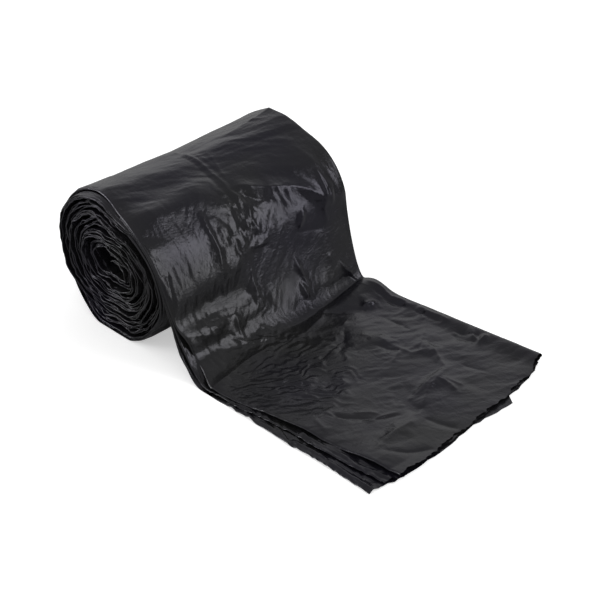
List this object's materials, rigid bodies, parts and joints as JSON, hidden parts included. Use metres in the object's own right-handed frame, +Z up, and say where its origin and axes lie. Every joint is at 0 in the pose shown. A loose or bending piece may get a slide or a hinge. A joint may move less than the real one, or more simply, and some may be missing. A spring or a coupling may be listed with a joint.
{
  "type": "bin bag roll",
  "caption": "Roll of folded plastic bin bags wound on an open core, with its outer end drawn down to the floor and lying flat to a torn edge.",
  "frame": {"origin": "on the floor under the middle of the roll's axis, on the roll's flat spot", "axes": "+X the way the strip unrolls, +Y along the axis of the roll towards its looser end, +Z up"},
  "size_m": [0.3353, 0.1898, 0.1226],
  "materials": {
    "film": "thin black polythene film, glossy where it is drawn tight and duller where it is finely creased"
  },
  "bodies": {
    "root": {"bag_roll": "film"}
  },
  "joints": []
}
